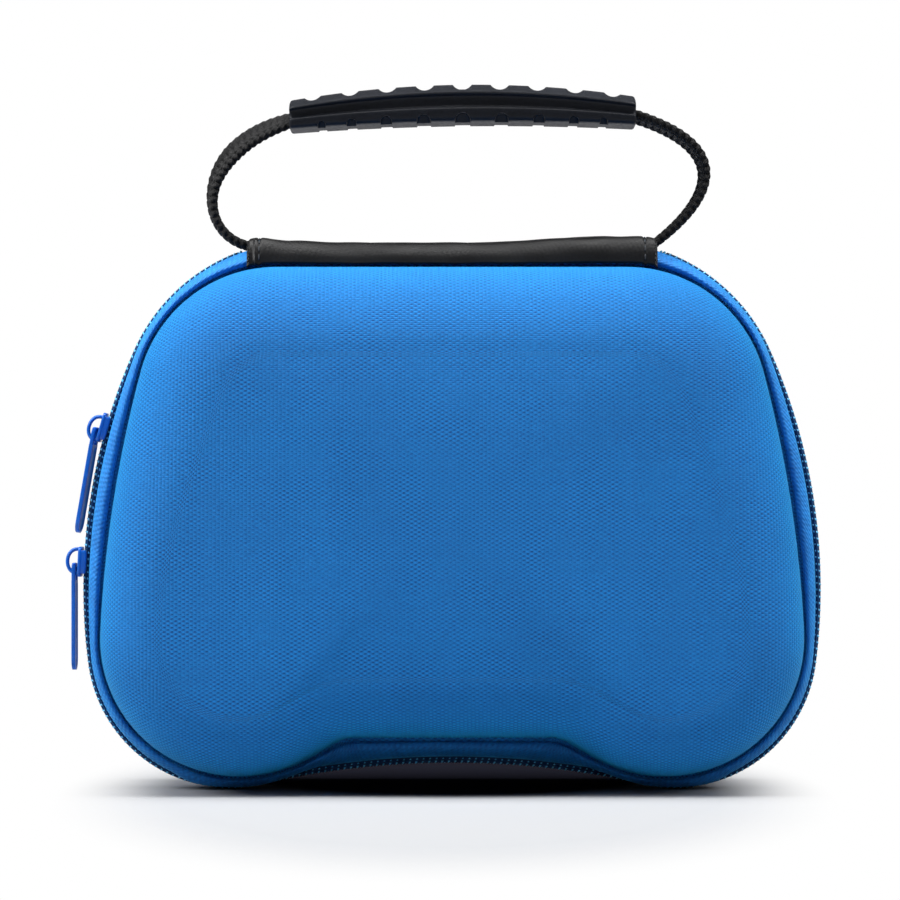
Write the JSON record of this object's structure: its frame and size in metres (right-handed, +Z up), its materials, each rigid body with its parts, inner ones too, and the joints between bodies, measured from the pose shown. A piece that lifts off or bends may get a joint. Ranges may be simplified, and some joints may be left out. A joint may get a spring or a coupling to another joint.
{
  "type": "controller carrying case",
  "caption": "Zipped hard-shell carrying case for a game controller, with two domed halves hinged at the top, zip sliders, a webbing handle with a rubber grip, a mesh pocket and elastic straps.",
  "frame": {"origin": "on the floor under the middle of the case's bounding box", "axes": "+Z up, +X to the right seen from the front, -Y towards the front face; the zip lies in the plane y = 0"},
  "size_m": [0.1797, 0.07, 0.1674],
  "materials": {
    "shell_fabric": "woven, matt sheen",
    "tape_fabric": "woven tape",
    "zip_coil": "semi-gloss",
    "lining": "knitted lining",
    "band": "satin rubberised fabric",
    "webbing": "braided",
    "grip": "satin",
    "slider_metal": "painted, semi-gloss",
    "mesh": "open mesh",
    "elastic": "woven elastic",
    "hook_loop": "brushed"
  },
  "bodies": {
    "rear_half": {"rear_shell": "shell_fabric", "rear_binding": "lining", "rear_zip_tape": "tape_fabric", "rear_zip_coil": "zip_coil", "hinge_band": "band", "hinge_liner": "lining", "handle_strap": "webbing", "handle_grip": "grip", "left_elastic": "elastic", "right_elastic": "elastic", "loop_patch": "hook_loop", "hook_patch": "hook_loop"},
    "front_half": {"front_shell": "shell_fabric", "front_binding": "lining", "front_zip_tape": "tape_fabric", "front_zip_coil": "zip_coil", "mesh_pocket": "mesh", "pocket_hem": "elastic"},
    "upper_slider": {"upper_slider": "slider_metal"},
    "upper_pull": {"upper_pull": "slider_metal"},
    "lower_slider": {"lower_slider": "slider_metal"},
    "lower_pull": {"lower_pull": "slider_metal"}
  },
  "joints": [
    {"name": "lid_hinge", "type": "hinge", "parent": "rear_half", "child": "front_half", "pos_m": [0.00205, 0, 0.133], "axis": [-1, 0, 0], "range_deg": [0, 90], "deforming": ["hinge_band", "hinge_liner"]},
    {"name": "upper_slider_run", "type": "hinge", "parent": "rear_half", "child": "upper_slider", "pos_m": [0.05418, 0, 0.04753], "axis": [0, 1, 0], "range_deg": [0, 6.4]},
    {"name": "upper_pull_swing", "type": "hinge", "parent": "upper_slider", "child": "upper_pull", "pos_m": [-0.0826, 0, 0.08623], "axis": [0, 1, 0], "range_deg": [0, 150]},
    {"name": "lower_slider_run", "type": "hinge", "parent": "rear_half", "child": "lower_slider", "pos_m": [0.05418, 0, 0.04753], "axis": [0, 1, 0], "range_deg": [-8.2, 0]},
    {"name": "lower_pull_swing", "type": "hinge", "parent": "lower_slider", "child": "lower_pull", "pos_m": [-0.08782, 0, 0.05398], "axis": [0, 1, 0], "range_deg": [0, 150]}
  ]
}
